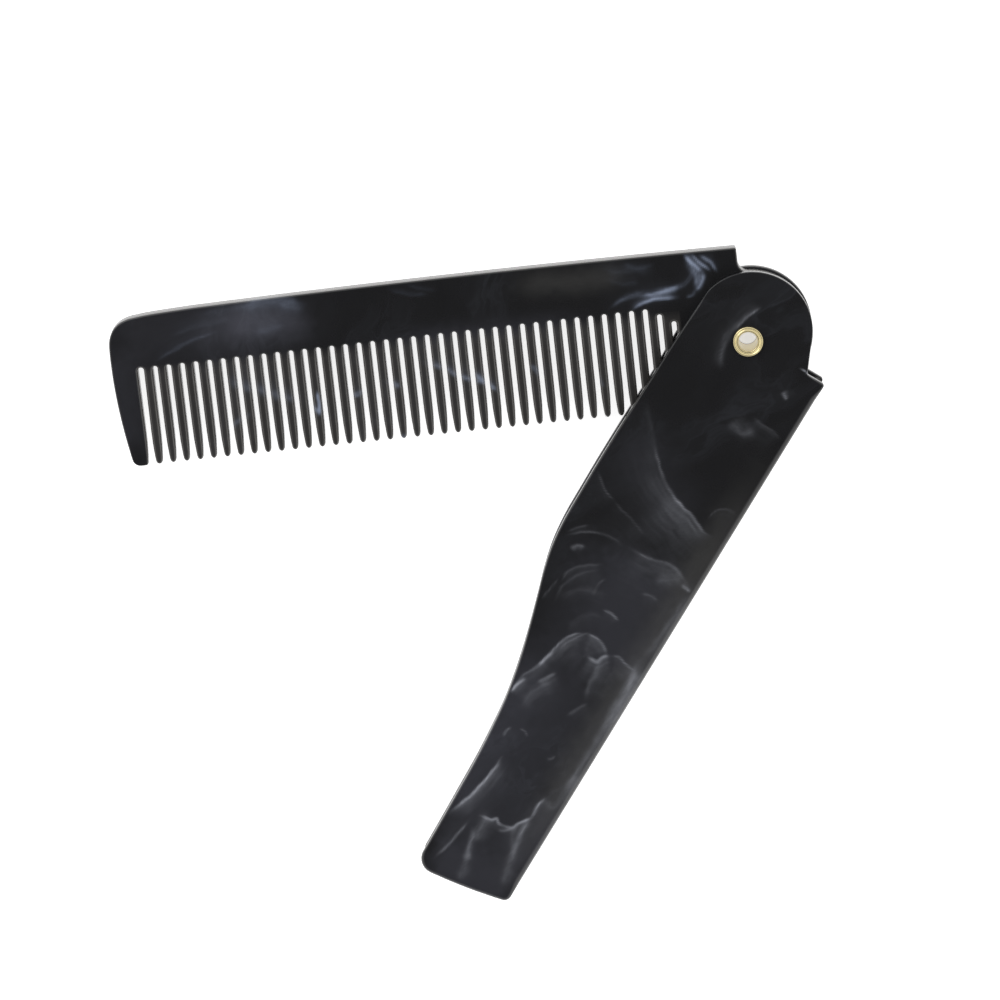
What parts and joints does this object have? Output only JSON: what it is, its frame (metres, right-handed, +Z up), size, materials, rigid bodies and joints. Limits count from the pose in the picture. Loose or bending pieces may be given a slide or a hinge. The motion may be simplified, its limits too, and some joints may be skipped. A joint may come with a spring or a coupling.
{
  "type": "folding comb",
  "caption": "Folding pocket comb: a toothed comb plate that turns on a hollow rivet and folds into a curved sheath that is also its grip, lying half open.",
  "frame": {"origin": "bottom centre of the box of the comb as it lies half open, on the plane of the sheath's underside", "axes": "+Z up through the thickness, along the rivet; +X along the longer side of the box, away from the comb's end; +Y towards the comb's spine"},
  "size_m": [0.0942, 0.0886, 0.0059],
  "materials": {
    "handle_plastic": "polished black with grey and bluish marbled veins",
    "comb_plastic": "polished black with grey and bluish marbled veins, buffed arrises",
    "rivet_brass": "polished"
  },
  "bodies": {
    "handle": {"handle": "handle_plastic", "rivet": "rivet_brass"},
    "comb": {"comb": "comb_plastic"}
  },
  "joints": [
    {"name": "fold", "type": "hinge", "parent": "handle", "child": "comb", "pos_m": [0.03701, 0.03206, 0.0027], "axis": [0, 0, 1], "range_deg": [-126.8, 53.2]}
  ]
}
